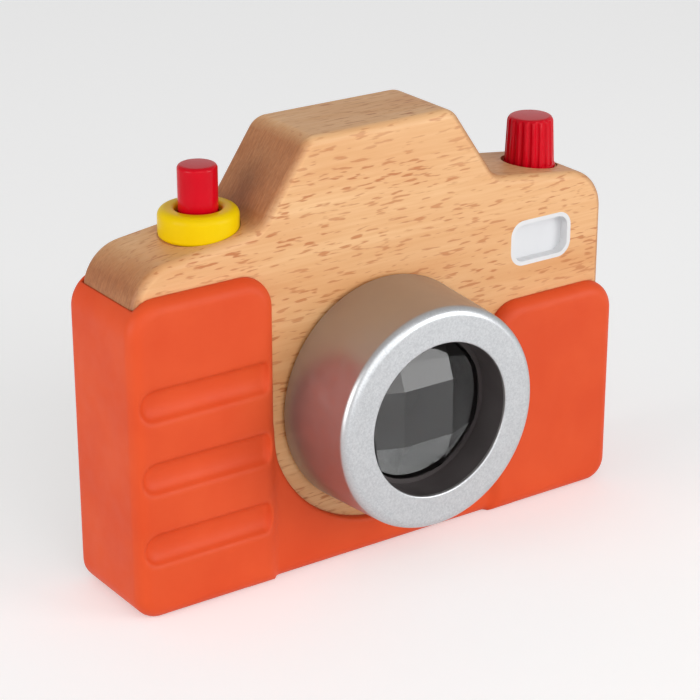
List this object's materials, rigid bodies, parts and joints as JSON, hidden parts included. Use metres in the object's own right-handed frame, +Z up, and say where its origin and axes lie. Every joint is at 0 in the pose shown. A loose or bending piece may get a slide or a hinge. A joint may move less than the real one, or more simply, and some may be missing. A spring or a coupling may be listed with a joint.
{
  "type": "toy camera",
  "caption": "Wooden pretend-play camera in a soft jacket, with a turning faceted lens, a press button, a turning knob, a flash and a battery sound module.",
  "frame": {"origin": "middle of the flat underside, midway through the wooden body's thickness", "axes": "+X to the right as seen from the front, +Y towards the back, +Z up; the lens looks along -Y"},
  "size_m": [0.13, 0.0462, 0.0995],
  "materials": {
    "beech": "oiled beech, fine flecked grain",
    "panel_wood": "thin beech panel",
    "silicone": "matte moulded silicone",
    "silver": "satin metallic silver coat",
    "black_plastic": "moulded, satin",
    "clear_plastic": "clear acrylic",
    "red": "glossy red",
    "yellow": "glossy yellow",
    "white_plastic": "smooth white",
    "frosted": "frosted white",
    "nylon": "natural nylon",
    "steel": "zinc plated",
    "circuit": "green solder mask",
    "resin": "black potting resin",
    "foam": "closed-cell foam",
    "lead_sheath": "insulated wire"
  },
  "bodies": {
    "camera_body": {"wood_body": "beech", "silicone_jacket": "silicone", "back_panel": "panel_wood", "cover_screws": "steel", "lens_bush": "nylon", "view_tunnel": "black_plastic", "eyepiece_window": "clear_plastic", "collar_ring": "yellow", "button_guide": "nylon", "return_spring": "steel", "tact_switch": "black_plastic", "knob_bush": "nylon", "flash_reflector": "white_plastic", "flash_window": "frosted", "flash_led": "clear_plastic", "circuit_board": "circuit", "sound_chip": "resin", "board_posts": "nylon", "board_screws": "steel", "speaker": "steel", "speaker_gasket": "foam", "speaker_leads": "lead_sheath", "battery_box": "black_plastic", "battery_cells": "steel", "battery_contacts": "steel", "battery_leads": "lead_sheath"},
    "lens_assembly": {"lens_barrel": "silver", "lens_tube": "black_plastic", "facet_lens": "clear_plastic", "lens_retainer": "black_plastic", "barrel_clip": "steel"},
    "button_assembly": {"shutter_button": "red", "button_clip": "steel"},
    "knob_assembly": {"advance_knob": "red", "knob_spindle": "steel", "knob_clip": "steel"},
    "door_assembly": {"battery_door": "black_plastic", "door_contacts": "steel", "door_screws": "steel"}
  },
  "joints": [
    {"name": "lens_turn", "type": "hinge", "parent": "camera_body", "child": "lens_assembly", "pos_m": [0, -0.02, 0.0385], "axis": [0, -1, 0], "continuous": true},
    {"name": "button_press", "type": "slide", "parent": "camera_body", "child": "button_assembly", "axis": [0, 0, -1], "range_m": [0, 0.003], "stiffness_N_per_m": 400, "deforming": ["return_spring"]},
    {"name": "knob_turn", "type": "hinge", "parent": "camera_body", "child": "knob_assembly", "pos_m": [0.0493, 0, 0.085], "axis": [0, 0, 1], "continuous": true},
    {"name": "door_lift", "type": "slide", "parent": "camera_body", "child": "door_assembly", "axis": [0, 1, 0], "range_m": [0, 0.03]}
  ]
}
